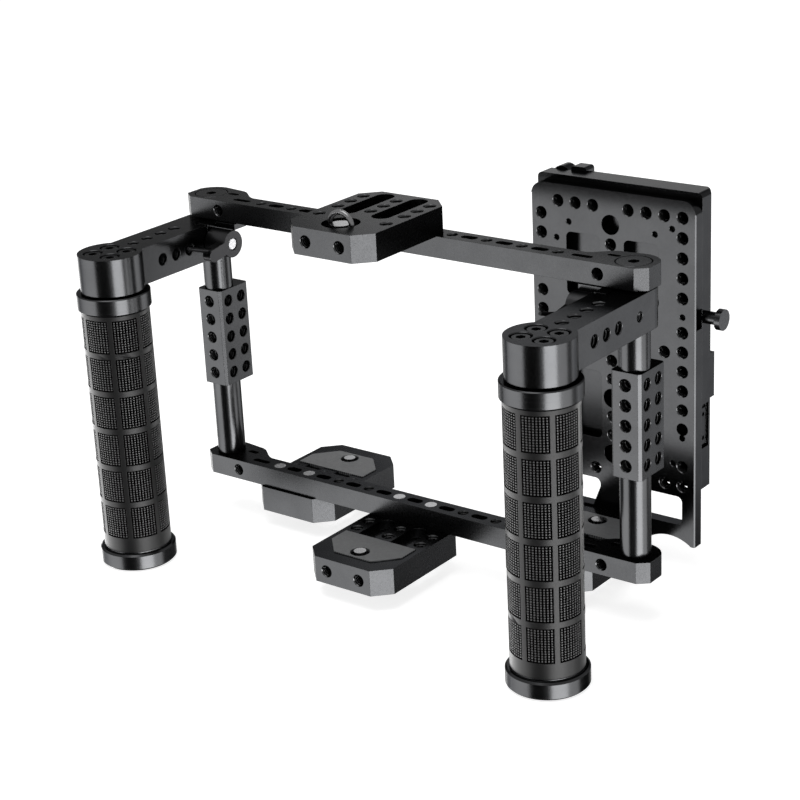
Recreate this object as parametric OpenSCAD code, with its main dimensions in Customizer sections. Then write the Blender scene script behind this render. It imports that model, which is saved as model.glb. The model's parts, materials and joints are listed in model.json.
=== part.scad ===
// Cage for a field monitor, with two swinging side handles and a battery plate.
// X runs along the two bars, Y to the rear, Z up. Sizes are in millimetres.
// The origin lies under the middle of the part, on the plane the handles stand on.

/* [Monitor bay] */
// Distance between the side rods, centre to centre
rod_spacing = 255.6; // [244:0.2:300]
// Clear height between the two bars
bay_h = 134; // [126:1:165]
// Diameter of the side rods
rod_d = 15; // [13:0.5:16]
// Length of the lower rod below the block
lower_rod_l = 41.2; // [20:0.2:46]

/* [Bars] */
// Height of both bars
bar_h = 10.75; // [9:0.25:14]
// Depth of a bar between its end lugs
bar_d = 12; // [11:0.2:14]
// How far the front face of a bar lies ahead of the rods
bar_front = 10.1; // [9.2:0.1:11]
// How far the row of holes lies ahead of the rods
row_front = 4.1; // [3:0.1:5]
// Radius of the end lug behind the rod
lug_r = 12.2; // [11.6:0.1:14]
// Reach of the end lug beyond the rod
lug_end = 11.4; // [10:0.1:12]
// Length of the bevel at the front of the lug, along the bar
lug_bevel_x = 5.5; // [2:0.1:6]
// Depth of the bevel at the front of the lug
lug_bevel_y = 4.3; // [2:0.1:6]
// Diameter of the empty threaded holes in the bars
bar_hole_d = 5.6; // [4.5:0.1:6.4]
// Length of the short slots in the bars
bar_slot_l = 9; // [7:0.2:10]
// Width of the short slots in the bars
bar_slot_w = 4.6; // [3:0.1:6]
// Diameter of the cross holes near the ends of the bars
cross_hole_d = 6.2; // [4:0.1:7]

/* [Hole grid] */
// Pitch of all hole rows
hole_pitch = 10; // [9.6:0.1:11]
// Diameter of the threaded holes in blocks, arms and plates
hole_d = 6.4; // [5:0.1:6.8]

/* [Blocks] */
// Width of a block across the rod
block_w = 16; // [15.4:0.2:20]
// Depth of a block
block_d = 22.4; // [21:0.2:26]
// Height of a block
block_h = 52.7; // [49:0.1:56]
// How far the front of a block lies ahead of the rod
block_front = 8.4; // [8:0.1:10]
// Edge bevel of a block
block_bevel = 1.3; // [0.5:0.1:1.5]
// Depth of the holes in a block
block_hole_depth = 4.4; // [3:0.1:4.6]

/* [Device plates] */
// Width of a plate
plate_w = 50.8; // [49:0.2:58]
// Length of a plate
plate_l = 68.7; // [67:0.1:80]
// Thickness of a plate
plate_t = 13.6; // [12:0.1:16]
// Bevel at the four corners of a plate
plate_bevel = 8.4; // [4:0.1:10]
// Distance of the fastening screws from the near end
plate_screw_off = 7.6; // [7:0.1:9]
// Distance of the first hole row from the near end
plate_row_off = 11.2; // [10:0.1:12]
// Distance of the extra pair of holes from the near end
plate_pair_off = 45.3; // [44:0.1:48]
// Width of the long slots
plate_slot_w = 10; // [9:0.1:10.4]
// Distance of the slot ends from the near end of the plate
plate_slot_start = 2.5; // [2:0.1:2.8]
// Length of the long slots
plate_slot_l = 38; // [30:0.5:38]
// Thickness left under the slots where the plate meets the bar
plate_web_t = 5; // [3:0.1:6]
// Depth of the holes in the far end of a plate
end_hole_depth = 7.4; // [5:0.1:7.6]
// Distance of the outer plates from the middle, as steps of the hole grid
outer_plate_steps = 8; // [7:1:8]

/* [Pads] */
// Width of a rubber pad
pad_w = 44; // [40:0.5:47]
// Length of a rubber pad
pad_l = 23; // [20:0.2:24]
// Distance of the pad from the far end
pad_end_off = 8.4; // [7:0.1:9]
// Thickness of a rubber pad
pad_t = 1.5; // [1.2:0.1:2.5]
// How far the pad stands proud of its plate
pad_proud = 0.5; // [0.3:0.1:1]
// Diameter of the hole in the pad
pad_hole_d = 10; // [8:0.1:12]

/* [Device screws] */
// Diameter of the device screw
stud_d = 6.3; // [5.6:0.1:6.6]
// Distance of the device screw from the far end
stud_end_off = 14.7; // [14.4:0.1:16]
// How far the screw stands out of its plate
stud_out = 1.2; // [0.8:0.1:6]
// Diameter of the recess that holds the screw head
recess_d = 18.6; // [18:0.1:19]
// Depth of that recess
recess_depth = 6.2; // [5.8:0.1:6.4]
// Diameter of the screw head
stud_head_d = 16.4; // [14:0.1:17]
// Thickness of the screw head
stud_head_t = 2.6; // [2:0.1:2.8]
// Radius of the folding ring, to the middle of its wire
ring_r = 6.7; // [6.4:0.1:7]
// Thickness of the wire of the folding ring
ring_wire_d = 2.6; // [2:0.1:2.7]
// Thickness of the pins of the folding ring
ring_pin_d = 2; // [1.6:0.1:2]

/* [Handle arms] */
// Height of an arm
arm_h = 18.9; // [17:0.1:21]
// Width of an arm
arm_w = 21.6; // [21:0.1:25]
// Gap between an arm and the top bar
arm_gap = 0.8; // [0.6:0.1:2]
// Distance of a handle from its rod
grip_reach = 77; // [74:0.5:100]
// Radius of the round end of an arm
cap_r = 16.2; // [15:0.1:18]
// Distance of the first top hole of an arm from the rod
arm_hole_off = 30; // [28:0.2:32]
// Depth of the holes in an arm
arm_hole_depth = 5; // [4:0.1:6]
// Distance of the clamp bolt from the rod
bolt_off = 13; // [12.8:0.1:14]
// Width of the clamping slit
slit_w = 1.2; // [0.8:0.1:1.6]
// Distance between neighbouring arm screws
arm_screw_pitch = 11.8; // [10:0.1:12.4]
// Diameter of the arm screw heads
arm_screw_head_d = 9.1; // [7:0.1:10]

/* [Clamp levers] */
// Diameter of the lever hub
hub_d = 14; // [12:0.1:14.4]
// Length of the lever hub
hub_l = 13.2; // [10:0.1:16]
// Diameter of the clamp bolt
bolt_d = 5; // [4:0.1:5.4]
// Thickness of the lever
lever_t = 5; // [3:0.1:6]
// Width of the lever
lever_w = 6.8; // [5:0.1:8]
// Length of the wide part of the lever
lever_l = 14.7; // [12:0.1:18]
// Length of the thin part of the lever
tail_l = 15.2; // [10:0.1:20]
// Thickness of the thin part at its root
tail_d = 3; // [2.4:0.1:4]

/* [Grips] */
// Height of the collar at the top of a grip
collar_h = 9; // [7:0.1:12]
// Diameter of the collar
collar_d = 37.2; // [37:0.1:41]
// Gap between the arm and the collar
collar_gap = 0.8; // [0.6:0.1:2]
// Length of the rubber sleeve
sleeve_l = 127.7; // [126:0.1:136]
// Diameter of the rubber sleeve
sleeve_d = 34.6; // [34:0.1:36]
// Diameter of the core inside the sleeve
core_d = 25; // [24:0.1:27]
// Height of the end cap
end_cap_h = 9.6; // [8:0.1:12]
// Diameter of the end cap
end_cap_d = 39; // [37:0.1:41]
// Number of panels round a sleeve
panel_cols = 7; // [5:1:9]
// Number of panels along a sleeve
panel_rows = 6; // [4:1:6]
// Height of a panel
panel_h = 17.1; // [14:0.1:18]
// Distance between neighbouring rows of panels
panel_pitch = 20.1; // [19:0.1:20.4]
// Depth of a panel
panel_depth = 0.6; // [0.3:0.1:1]
// Width of the band between neighbouring panels
panel_band = 2.45; // [2:0.05:4]

/* [Battery plate] */
// Width of the battery plate
bp_w = 92.9; // [90:0.1:100]
// Height of the front plate
bp_h = 180.4; // [170:0.2:200]
// Thickness of the front plate
bp_t = 6.4; // [5.2:0.1:7]
// How far the front plate reaches below the bottom bar
bp_drop = 12; // [10.5:0.1:13]
// Sideways offset of the battery plate from the plate that carries it
bp_shift = 1; // [0:0.1:3]
// Corner radius of the front plate
bp_corner_r = 7; // [4:0.1:9]
// Depth of the battery carrier behind the front plate
carrier_d = 12.4; // [11:0.1:14]
// Height of the lower edge of the carrier above that of the front plate
carrier_foot = 32; // [28:0.2:37]
// How far the carrier stands above the front plate
carrier_rise = 3; // [2:0.1:4]
// Height of the rails that take the battery
rail_h = 60; // [50:0.5:64]
// How far the rails stand out of the carrier
rail_d = 4.5; // [4.2:0.1:6]
// Width of a large hole in the front plate
big_hole_d = 10; // [8:0.1:11]
// Width of a small hole in the front plate
small_hole_d = 3.3; // [2:0.1:4]

/* [Side screw] */
// Diameter of the head of the side screw
knob_d = 10.5; // [9:0.1:13]
// Thickness of the head of the side screw
knob_t = 3; // [2:0.1:6]
// Diameter of the neck of the side screw
neck_d = 6.3; // [5:0.1:8]
// Length of the neck of the side screw
neck_l = 7.6; // [5:0.1:10]

/* [Hidden] */
$fn = 64;

// Overrun of every cut beyond the face it opens
over = 1;
// Clearance on the radius of a turning fit
run_clear = 0.05;
// Clearance on the radius of a screw in its hole
screw_clear = 0.1;
// Gap between faces that move past each other
move_gap = 0.4;

// Levels, measured from the underside of the bottom bar
rod_x = rod_spacing / 2;
lower_rod_z = bar_h;
block_z = lower_rod_z + lower_rod_l;
upper_rod_z = block_z + block_h;
top_bar_z = bar_h + bay_h;
upper_rod_l = top_bar_z - upper_rod_z;
cage_top = top_bar_z + bar_h;
bar_rear = bar_d - bar_front;

// Thread stub that joins a rod to its block
joint_stub_d = 6;
joint_stub_l = 9.5;
joint_bore_l = 10.2;
// Screw that joins a bar to a rod
rod_screw_head_d = 17;
rod_screw_head_t = 4;
rod_screw_d = 6;
rod_screw_l = 12;
rod_bore_l = 13;
rod_screw_gap = 0.3;
rod_screw_bevel = 0.4;
rod_screw_socket = 5;
rod_screw_socket_depth = 3;
// Long slots in the end lugs
lug_slot_l = 11;
lug_slot_w = 3.5;
lug_slot_in = 24.8;
lug_rear_slot_l = 6.8;
lug_rear_slot_w = 3;
lug_rear_slot_in = 12.4;
lug_rear_slot_y = 3.5;
cross_hole_in = 13.1;
// Outline of the fairing between lug and bar, as shares of the lug radius
fairing_shares = [[-1.13, 0.86], [-1.35, 0.76], [-1.55, 0.6], [-1.75, 0.43], [-1.96, 0.26]];
fairing_end_share = 2.2;

// Screws that hold the plates to the bars
plate_screw_d = 6.2;
plate_screw_head_d = 8.6;
plate_screw_head_t = 4.2;
plate_screw_socket = 4.6;
plate_screw_socket_depth = 2.4;
// Depth of the extra pair of holes in a plate
pair_depth = 8;
slot_through_start = plate_screw_off + row_front + bar_rear + plate_web_t / 4;
pad_cut_x = 10.5;
pad_cut_y = 11.3;
pad_seat_clear = 0.1;
far_y = plate_l - stud_end_off;

// Folding ring and its pivot
pivot_z = recess_depth - ring_wire_d / 2 - 0.1 * ring_wire_d;
ring_boss_r = ring_r - ring_wire_d / 2 - move_gap;
pin_bite = 2;
head_gap = 0.1;

// Handle arm
arm_z = top_bar_z - arm_gap - arm_h;
arm_mid = arm_h / 2;
arm_bore_r = rod_d / 2 + run_clear;
finger_t = 6.4;
slit_front = 17.9;
lip_l = 12.7;
lip_t = 2.9;
lip_front = 9.8;
lip_rear = 1;
arm_screw_d = 4;
arm_screw_bite = 11;
arm_screw_sink = 0.5;
arm_screw_gap = 0.4;
arm_screw_bevel = 0.5;
arm_screw_sink_bevel = 0.35;
arm_screw_head_t = 4.4;
arm_screw_socket = 4;
arm_screw_socket_depth = 2.2;
core_hole_extra = 1;

// Clamp lever
hub_gap = 0.5;
hub_well_d = 6.4;
hub_well_depth = 2.2;
bolt_head_d = 5.6;
bolt_head_t = 1.8;
bolt_inset = 3.5;
lever_drop = 9.5;
tail_rise = 18.5;
tail_tip_share = 0.55;
tail_root_share = 0.35;

// Grip
collar_z = arm_z - collar_gap - collar_h;
sleeve_z = collar_z - sleeve_l;
end_cap_z = sleeve_z - end_cap_h;
collar_bevel = 1;
end_cap_bevel = 0.9;
cap_shoulder = 0.9;
fit_clear = 0.1;
core_wall = 5.5;
core_roof = 22;
spigot_l = 10;
panel_top = 2.3;
panel_turn = -41.3;
left_panel_turn = -21.3;

// Battery plate
bp_x = outer_plate_steps * hole_pitch + bp_shift;
bp_y = plate_l - plate_screw_off - row_front;
bp_top = bp_h - bp_drop;
bp_edge = 0.6;
// Grid of holes: its middle line, and the space that a column needs beside the edge
grid_shift = 0.7;
edge_space = 5;
grid_x = -grid_shift;
edge_cols = floor((bp_w / 2 - edge_space) / hole_pitch);
// Top rows at the right, the left and the middle, down from the top edge
row_a = 15.7;
row_b = 8.35;
row_c = 16.95;
// Where the same rows would end at the right and in the middle, up from the lower edge
low_row_a = 34.7;
low_row_c = 33.45;
// The lowest row of all
bottom_row = 34.2;
rows_a = round((bp_h - row_a - low_row_a) / hole_pitch);
rows_c = round((bp_h - row_c - low_row_c) / hole_pitch);
window_w = 19.5;
window_in = 6.75;
window_r = 3;
upper_window_top = 23.4;
upper_window_h = 32.4;
lower_window_low = 50.7;
lower_window_h = 35.8;
// Gates above the lower edge
gate_low = 13.1;
gate_h = 15.3;
gate_in = 8.2;
gate_edge = 7.2;
gate_slant = 4.4;
gate_slant_h = 11;
gate_r = 3;
// Arches in the lower edge
arch_r = 20.7;
arch_edge = 14.4;
arch_drop = 14.3;
leg_rise = 2.4;
// Notch in the side behind the side screw
notch_depth = 2;
notch_h = 10;
notch_wall = 0.9;
// Small holes, as shares of the pitch: in from the outer column, and down from the top edge
left_small_shares = [[1.61, 1.84], [0.883, 2.73]];
right_small_shares = [[1.515, 1.835], [0.57, 1.44], [0, 5.78]];
// The same, with the second share up from the lower edge
low_small_shares = [[0, 6.01], [0.52, 4.56]];
// Screws that hold the carrier, from the side edge, the top edge and the carrier's foot
carrier_screw_edge = 14.5;
carrier_screw_drop = 20;
carrier_screw_foot = 23.4;
carrier_screw_bite = 3.6;
carrier_screw_d = 3;
carrier_screw_head_d = 5;
carrier_screw_head_t = 1.4;
battery_screw_head_d = 9.4;
battery_screw_head_t = 3;
battery_screw_len = 6.6;
// Carrier
carrier_y = bp_y + bp_t;
carrier_top = bp_top + carrier_rise;
carrier_h = bp_h + carrier_rise - carrier_foot;
carrier_corner_r = 2.5;
carrier_bevel = 4;
foot_bevel = 2;
carrier_rear = carrier_y + carrier_d;
rear_y = carrier_rear + rail_d;
// Rails
rail_w = 12;
rail_undercut = 4;
rail_lean = 7;
rail_half_gap = 17;
rail_top = 24.4;
rail_z = bp_h - rail_top - rail_h;
contact_w = 24;
contact_h = 10;
contact_d = 3.2;
contact_gap = 2;
contact_z = rail_z - contact_gap - contact_h;
contact_slot_w = 1.6;
contact_slot_h = 6;
contact_slot_depth = 1.8;
contact_slot_pitch = 4.2;
// Lug on the edge of the carrier
side_lug_w = 8;
side_lug_z = 66;
side_lug_h = 23;
// Port pocket in the side of the carrier
port_z = 41.5;
port_h = 23;
port_y = 0.4;
port_d = 6.7;
port_depth = 1.6;
panel_y_inset = 0.2;
port_panel_d = 3.6;
port_panel_h = 19;
port_panel_t = 1.2;
port_hole_d = 2.2;
port_hole_pitch = 12.5;
// Release button
button_w = 20;
button_h = 15;
button_edge = 12.45;
button_x = button_edge - bp_w / 2;
button_in = 3;
button_travel = 4;
button_rise = 2.1;
button_hump_r = 5.45;
button_hump_drop = 0.5;
button_corner_r = 1.6;
button_clear = 0.3;
// Side screw
side_z = 109.6;
side_y = 2.7;
side_thread_d = 4.4;
side_thread_l = 13;
side_gap = 0.3;

// Origin of the part, in the cage's own levels
front_y = -grip_reach - end_cap_d / 2;
base_y = (front_y + rear_y) / 2;
base_z = min(end_cap_z, -plate_t, -bp_drop);

module placed() {
    translate([0, -base_y, -base_z]) children();
}

module right() {
    placed() children();
}

module left() {
    placed() mirror([1, 0, 0]) children();
}

// Flat slot with round ends, along X
module slot_x(l, w) {
    square([l - w, w], center = true);
    for (s = [-1, 1]) {
        translate([s * (l - w) / 2, 0]) circle(d = w);
    }
}

// Flat slot with round ends, from y0 to y1
module slot_y(y0, y1, w) {
    translate([-w / 2, y0 + w / 2]) square([w, y1 - y0 - w]);
    translate([0, y0 + w / 2]) circle(d = w);
    translate([0, y1 - w / 2]) circle(d = w);
}

// Six-sided socket of a given width across its flats
module hex_socket(flats, depth) {
    translate([0, 0, -depth]) cylinder(d = flats / cos(30), h = depth + over, $fn = 6);
}

// Round hole into a face, along -Z from the face
module drill(d, depth) {
    translate([0, 0, -depth]) cylinder(d = d, h = depth + over);
}

// Bars

module lug_outline() {
    intersection() {
        circle(r = lug_r);
        translate([-lug_r, 0]) square([lug_r + lug_end, lug_r]);
    }
    polygon(concat(
        [[-fairing_end_share * lug_r, -bar_front],
         [lug_end - lug_bevel_x, -bar_front],
         [lug_end, lug_bevel_y - bar_front],
         [lug_end, 0],
         [0, lug_r]],
        [for (p = fairing_shares) p * lug_r],
        [[-fairing_end_share * lug_r, bar_rear]]
    ));
}

// One bar, with the side that faces the bay on top
module bar_body(screw_steps) {
    difference() {
        linear_extrude(bar_h) {
            translate([-rod_x, -bar_front]) square([rod_spacing, bar_d]);
            for (m = [0, 1]) {
                mirror([m, 0]) translate([rod_x, 0]) lug_outline();
            }
        }
        for (k = [-9 : 2 : 9]) {
            translate([k * hole_pitch, -row_front, bar_h]) drill(bar_hole_d, bar_h + over);
        }
        for (k = screw_steps) {
            translate([k * hole_pitch, -row_front, bar_h])
                drill(plate_screw_d + 2 * screw_clear, bar_h + over);
        }
        for (k = [-8 : 2 : 8]) {
            translate([k * hole_pitch, -row_front, -over])
                linear_extrude(bar_h + 2 * over) slot_x(bar_slot_l, bar_slot_w);
        }
        for (s = [-1, 1]) {
            translate([s * (rod_x - lug_slot_in), -row_front, -over])
                linear_extrude(bar_h + 2 * over) slot_x(lug_slot_l, lug_slot_w);
            translate([s * (rod_x - lug_rear_slot_in), lug_rear_slot_y, -over])
                linear_extrude(bar_h + 2 * over) slot_x(lug_rear_slot_l, lug_rear_slot_w);
            translate([s * (rod_x - cross_hole_in), -bar_front, bar_h / 2])
                rotate([90, 0, 0]) drill(cross_hole_d, bar_front + lug_r);
            translate([s * rod_x, 0, 0]) mirror([0, 0, 1]) {
                drill(rod_screw_head_d + 2 * rod_screw_gap, rod_screw_head_t);
                drill(rod_screw_d + 2 * screw_clear, bar_h + over);
            }
        }
    }
}

module bottom_bar() {
    color("#2a2a2c") placed() bar_body([
        -outer_plate_steps - 1, 1 - outer_plate_steps, -1, 1,
        outer_plate_steps - 1, outer_plate_steps + 1
    ]);
}

module top_bar() {
    color("#2a2a2c") placed() translate([0, 0, cage_top]) mirror([0, 0, 1]) bar_body([-1, 1]);
}

// Screw through a bar into a rod, head at z = 0, pointing up
module rod_screw() {
    difference() {
        union() {
            cylinder(
                d1 = rod_screw_head_d - 2 * rod_screw_bevel, d2 = rod_screw_head_d, h = rod_screw_bevel
            );
            translate([0, 0, rod_screw_bevel])
                cylinder(d = rod_screw_head_d, h = rod_screw_head_t - rod_screw_bevel);
            cylinder(d = rod_screw_d, h = bar_h + rod_screw_l);
        }
        mirror([0, 0, 1]) hex_socket(rod_screw_socket, rod_screw_socket_depth);
    }
}

module rod_end_screws() {
    color("#303033") placed() {
        for (s = [-1, 1]) {
            translate([s * rod_x, 0, 0]) rod_screw();
            translate([s * rod_x, 0, cage_top]) mirror([0, 0, 1]) rod_screw();
        }
    }
}

// Rod with its bored end at z = 0 and its stub at the other end
module rod_body(l) {
    difference() {
        union() {
            cylinder(d = rod_d, h = l);
            cylinder(d = joint_stub_d, h = l + joint_stub_l);
        }
        translate([0, 0, -over])
            cylinder(d = rod_screw_d + 2 * screw_clear, h = rod_bore_l + over);
    }
}

module lower_rod() {
    color("#3a3a3d") translate([rod_x, 0, lower_rod_z]) rod_body(lower_rod_l);
}

module upper_rod() {
    color("#3a3a3d") translate([rod_x, 0, top_bar_z]) mirror([0, 0, 1]) rod_body(upper_rod_l);
}

module left_lower_rod() {
    left() lower_rod();
}

module right_lower_rod() {
    right() lower_rod();
}

module left_upper_rod() {
    left() upper_rod();
}

module right_upper_rod() {
    right() upper_rod();
}

// Blocks

module block_outline() {
    b = block_bevel;
    x = block_w / 2;
    y0 = -block_front;
    y1 = block_d - block_front;
    polygon([
        [b - x, y0], [x - b, y0], [x, y0 + b], [x, y1 - b],
        [x - b, y1], [b - x, y1], [-x, y1 - b], [-x, y0 + b]
    ]);
}

module block_body() {
    mid_y = block_d / 2 - block_front;
    color("#2c2c2e") translate([rod_x, 0, block_z]) difference() {
        linear_extrude(block_h) block_outline();
        for (k = [-2 : 2]) {
            z = block_h / 2 + k * hole_pitch;
            translate([0, -block_front, z]) rotate([90, 0, 0]) drill(hole_d, block_hole_depth);
            translate([0, block_d - block_front, z])
                rotate([-90, 0, 0]) drill(hole_d, block_hole_depth);
            for (s = [-1, 1], r = [-1, 1]) {
                translate([s * block_w / 2, mid_y + r * hole_pitch / 2, z])
                    rotate([0, s * 90, 0]) drill(hole_d, block_hole_depth);
            }
        }
        translate([0, 0, -over])
            cylinder(d = joint_stub_d + 2 * screw_clear, h = joint_bore_l + over);
        translate([0, 0, block_h]) drill(joint_stub_d + 2 * screw_clear, joint_bore_l);
    }
}

module left_block() {
    left() block_body();
}

module right_block() {
    right() block_body();
}

// Device plates. Near end at y = 0, side that meets the bar at z = 0.

module plate_outline() {
    b = plate_bevel;
    x = plate_w / 2;
    polygon([
        [b - x, 0], [x - b, 0], [x, b], [x, plate_l - b],
        [x - b, plate_l], [b - x, plate_l], [-x, plate_l - b], [-x, b]
    ]);
}

module pad_outline(grow) {
    x = pad_w / 2 + grow;
    y0 = plate_l - pad_end_off - pad_l - grow;
    y1 = plate_l - pad_end_off + grow;
    polygon([
        [-x, y0], [x, y0], [x, y1 - pad_cut_y],
        [x - pad_cut_x, y1], [pad_cut_x - x, y1], [-x, y1 - pad_cut_y]
    ]);
}

module plate_body() {
    slot_end = plate_slot_start + plate_slot_l;
    difference() {
        linear_extrude(plate_t) plate_outline();
        translate([0, 0, -over]) linear_extrude(pad_t - pad_proud + over)
            pad_outline(pad_seat_clear);
        for (s = [-1, 1]) {
            translate([s * hole_pitch, 0, plate_web_t])
                linear_extrude(plate_t) slot_y(plate_slot_start, slot_end, plate_slot_w);
            translate([s * hole_pitch, 0, -over])
                linear_extrude(plate_t) slot_y(slot_through_start, slot_end, plate_slot_w);
            translate([s * hole_pitch, plate_screw_off, plate_t])
                drill(plate_screw_d + 2 * screw_clear, plate_t + over);
            translate([2 * s * hole_pitch, plate_pair_off, plate_t]) drill(hole_d, pair_depth);
            translate([s * hole_pitch, plate_l, plate_t / 2])
                rotate([-90, 0, 0]) drill(hole_d, end_hole_depth);
        }
        for (c = [-2 : 2 : 2], r = [0 : 2]) {
            translate([c * hole_pitch, plate_row_off + r * hole_pitch, plate_t])
                drill(hole_d, plate_t + over);
        }
        translate([0, far_y, plate_t]) {
            drill(recess_d, recess_depth);
            drill(stud_d + 2 * run_clear, plate_t + over);
        }
    }
}

module pad_body() {
    translate([0, 0, -pad_proud]) difference() {
        linear_extrude(pad_t) pad_outline(0);
        translate([0, far_y, pad_t]) drill(pad_hole_d, pad_t + over);
    }
}

// Places of the four plates
module at_top() {
    placed() translate([0, plate_screw_off - row_front, cage_top]) mirror([0, 1, 0]) children();
}

module at_centre() {
    placed() translate([0, plate_screw_off - row_front, 0])
        mirror([0, 1, 0]) mirror([0, 0, 1]) children();
}

module at_outer(s) {
    placed() translate([s * outer_plate_steps * hole_pitch, -plate_screw_off - row_front, 0])
        mirror([0, 0, 1]) children();
}

module top_plate() {
    color("#1c1c1e") at_top() plate_body();
}

module centre_plate() {
    color("#1c1c1e") at_centre() plate_body();
}

module left_plate() {
    color("#1c1c1e") at_outer(-1) plate_body();
}

module right_plate() {
    color("#1c1c1e") at_outer(1) plate_body();
}

module top_pad() {
    color("#3c4044") at_top() pad_body();
}

module centre_pad() {
    color("#3c4044") at_centre() pad_body();
}

module left_pad() {
    color("#3c4044") at_outer(-1) pad_body();
}

module right_pad() {
    color("#3c4044") at_outer(1) pad_body();
}

// Screw through a plate into a bar, its end level with the far face of the bar
module plate_screw() {
    difference() {
        translate([0, 0, plate_web_t]) union() {
            cylinder(d = plate_screw_head_d, h = plate_screw_head_t);
            translate([0, 0, -plate_web_t - bar_h])
                cylinder(d = plate_screw_d, h = plate_web_t + bar_h + plate_screw_head_t / 2);
        }
        translate([0, 0, plate_web_t + plate_screw_head_t])
            hex_socket(plate_screw_socket, plate_screw_socket_depth);
    }
}

module plate_screw_pair() {
    for (s = [-1, 1]) {
        translate([s * hole_pitch, plate_screw_off, 0]) plate_screw();
    }
}

module plate_screws() {
    color("#b8b8bc") {
        at_top() plate_screw_pair();
        at_centre() plate_screw_pair();
        at_outer(-1) plate_screw_pair();
        at_outer(1) plate_screw_pair();
    }
}

// Device screws

module stud_body() {
    floor_z = plate_t - recess_depth;
    translate([0, far_y, 0]) difference() {
        union() {
            translate([0, 0, -stud_out]) cylinder(d = stud_d, h = stud_out + floor_z + stud_head_t);
            translate([0, 0, floor_z + head_gap]) cylinder(d = stud_head_d, h = stud_head_t);
            translate([0, 0, floor_z + head_gap])
                cylinder(r = ring_boss_r, h = pivot_z + ring_wire_d / 2 - head_gap);
        }
        translate([0, 0, floor_z + pivot_z]) for (s = [-1, 1]) {
            rotate([0, s * 90, 0]) translate([0, 0, ring_boss_r - pin_bite - move_gap])
                cylinder(d = ring_pin_d + 2 * run_clear, h = pin_bite + move_gap + over);
        }
    }
}

// Folding ring, drawn standing up from its pivot
module ring_body(fold) {
    floor_z = plate_t - recess_depth;
    translate([0, far_y, floor_z + pivot_z]) rotate([fold, 0, 0]) {
        rotate([90, 0, 0]) rotate_extrude(angle = 180)
            translate([ring_r, 0]) circle(d = ring_wire_d, $fn = 32);
        for (s = [-1, 1]) {
            rotate([0, s * 90, 0]) translate([0, 0, ring_boss_r - pin_bite])
                cylinder(d = ring_pin_d, h = ring_r - ring_boss_r + pin_bite + ring_wire_d / 4);
        }
    }
}

module top_stud() {
    color("#c8c8cc") at_top() stud_body();
}

module centre_stud() {
    color("#c8c8cc") at_centre() stud_body();
}

module left_stud() {
    color("#c8c8cc") at_outer(-1) stud_body();
}

module right_stud() {
    color("#c8c8cc") at_outer(1) stud_body();
}

module top_ring() {
    color("#d8d8dc") at_top() ring_body(0);
}

module centre_ring() {
    color("#d8d8dc") at_centre() ring_body(90);
}

module left_ring() {
    color("#d8d8dc") at_outer(-1) ring_body(90);
}

module right_ring() {
    color("#d8d8dc") at_outer(1) ring_body(90);
}

// Handle arms, drawn for the right side with the rod at x = 0

module arm_body() {
    half = arm_w / 2;
    slit_x = half - finger_t;
    translate([rod_x, 0, arm_z]) difference() {
        union() {
            linear_extrude(arm_h) {
                translate([-half, -grip_reach]) square([arm_w, grip_reach]);
                circle(d = arm_w);
                translate([0, -grip_reach]) circle(r = cap_r);
            }
            translate([-half - lip_l, -lip_front, arm_h - lip_t])
                cube([lip_l + finger_t / 2, lip_front - lip_rear, lip_t]);
        }
        translate([0, 0, -over]) cylinder(r = arm_bore_r, h = arm_h + 2 * over);
        translate([-slit_x, -slit_front, -over]) cube([slit_w, slit_front, arm_h + 2 * over]);
        translate([-half - over, -slit_front, -over])
            cube([finger_t + over + slit_w, slit_w, arm_h + 2 * over]);
        translate([half, -bolt_off, arm_mid])
            rotate([0, 90, 0]) drill(bolt_d + 2 * run_clear, arm_w + over);
        for (k = [0 : 3]) {
            translate([0, -arm_hole_off - k * hole_pitch, arm_h]) drill(hole_d, arm_hole_depth);
        }
        for (s = [-1, 1], k = [0 : 2]) {
            translate([s * half, -arm_hole_off - k * hole_pitch - hole_pitch / 10, arm_mid])
                rotate([0, s * 90, 0]) drill(hole_d, arm_hole_depth);
        }
        for (a = [-1, 1], b = [-1, 1]) {
            translate([a * arm_screw_pitch / 2, b * arm_screw_pitch / 2 - grip_reach, arm_h]) {
                drill(arm_screw_head_d + 2 * arm_screw_gap, arm_screw_head_t + arm_screw_sink);
                drill(arm_screw_d + 2 * screw_clear, arm_h + over);
                translate([0, 0, -arm_screw_sink_bevel]) cylinder(
                    d1 = arm_screw_head_d + 2 * arm_screw_gap,
                    d2 = arm_screw_head_d + 2 * arm_screw_gap + 4 * arm_screw_sink_bevel,
                    h = 2 * arm_screw_sink_bevel
                );
            }
        }
    }
}

module arm_screw_set() {
    top = arm_h - arm_screw_sink;
    reach = top + arm_screw_bite - arm_screw_head_t / 2;
    translate([rod_x, -grip_reach, arm_z]) for (a = [-1, 1], b = [-1, 1]) {
        translate([a * arm_screw_pitch / 2, b * arm_screw_pitch / 2, top]) difference() {
            union() {
                translate([0, 0, -arm_screw_head_t])
                    cylinder(d = arm_screw_head_d, h = arm_screw_head_t - arm_screw_bevel);
                translate([0, 0, -arm_screw_bevel]) cylinder(
                    d1 = arm_screw_head_d, d2 = arm_screw_head_d - 2 * arm_screw_bevel, h = arm_screw_bevel
                );
                translate([0, 0, -top - arm_screw_bite]) cylinder(d = arm_screw_d, h = reach);
            }
            hex_socket(arm_screw_socket, arm_screw_socket_depth);
        }
    }
}

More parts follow.
